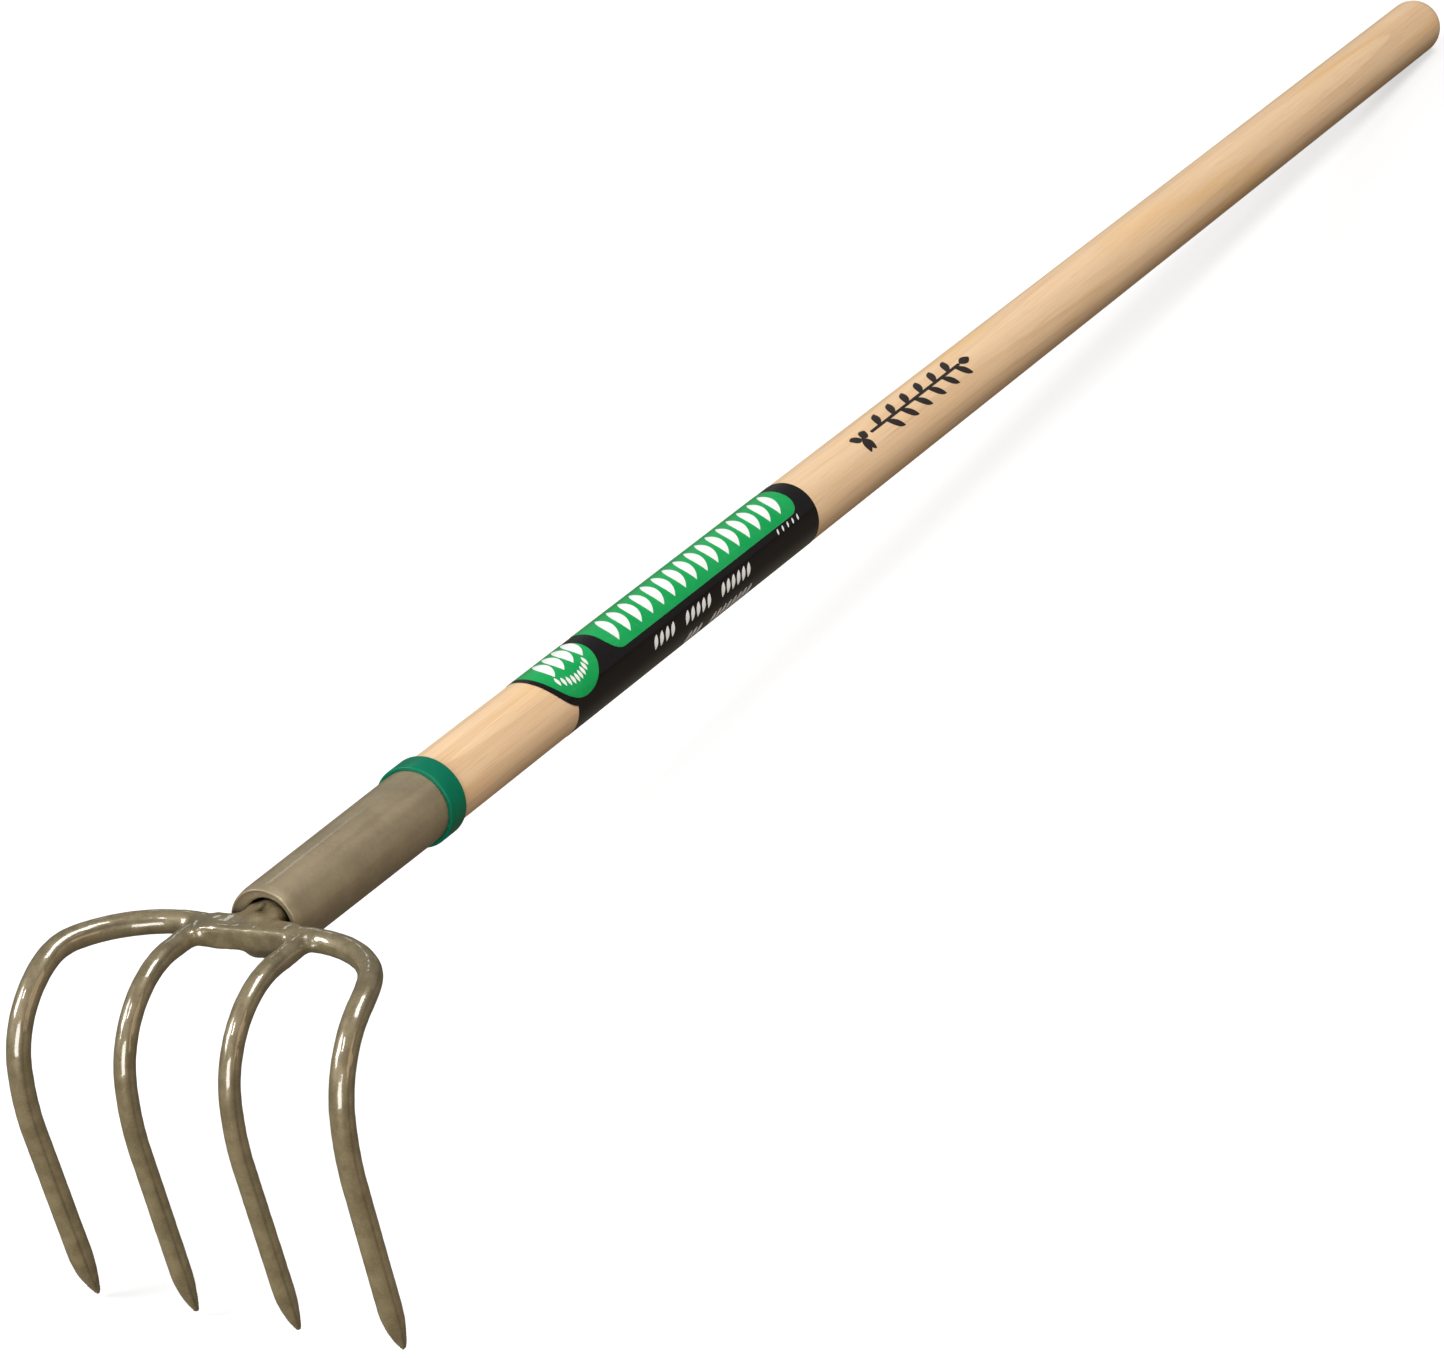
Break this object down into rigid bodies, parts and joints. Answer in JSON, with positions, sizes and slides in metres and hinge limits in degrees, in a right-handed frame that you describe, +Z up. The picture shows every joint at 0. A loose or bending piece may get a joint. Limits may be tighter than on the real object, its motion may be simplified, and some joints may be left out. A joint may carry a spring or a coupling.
{
  "type": "garden cultivator",
  "caption": "Long-handled garden cultivator: hooked round tines forged to a crosshead, a tang set in a round wooden handle, tapered ferrule, collar and wrap label.",
  "frame": {"origin": "centre of the bounding box on the ground plane, with the tool lying on its four points and the butt of the handle", "axes": "+Z up from the ground; +Y level, from the head towards the butt of the handle; +X sideways across the tines, to the right of someone looking along +Y"},
  "size_m": [0.1542, 1.3854, 0.1614],
  "materials": {
    "head_paint": "glossy champagne-taupe enamel over forged steel, with flash seams and small hammer dents",
    "tang_steel": "forged steel, painted only at the neck",
    "ferrule_paint": "satin champagne-taupe enamel over drawn steel tube",
    "pin_steel": "steel pin under the same enamel",
    "collar_green": "moulded green plastic, soft gloss",
    "handle_wood": "pale straight-grained hardwood under clear lacquer",
    "label_film": "glossy black and green printed film wrap"
  },
  "bodies": {
    "root": {"tine_outer_left": "head_paint", "tine_inner_left": "head_paint", "tine_inner_right": "head_paint", "tine_outer_right": "head_paint", "crosshead": "head_paint", "tang": "tang_steel", "ferrule": "ferrule_paint", "ferrule_pin": "pin_steel", "collar_ring": "collar_green", "handle": "handle_wood", "label_sleeve": "label_film"}
  },
  "joints": []
}
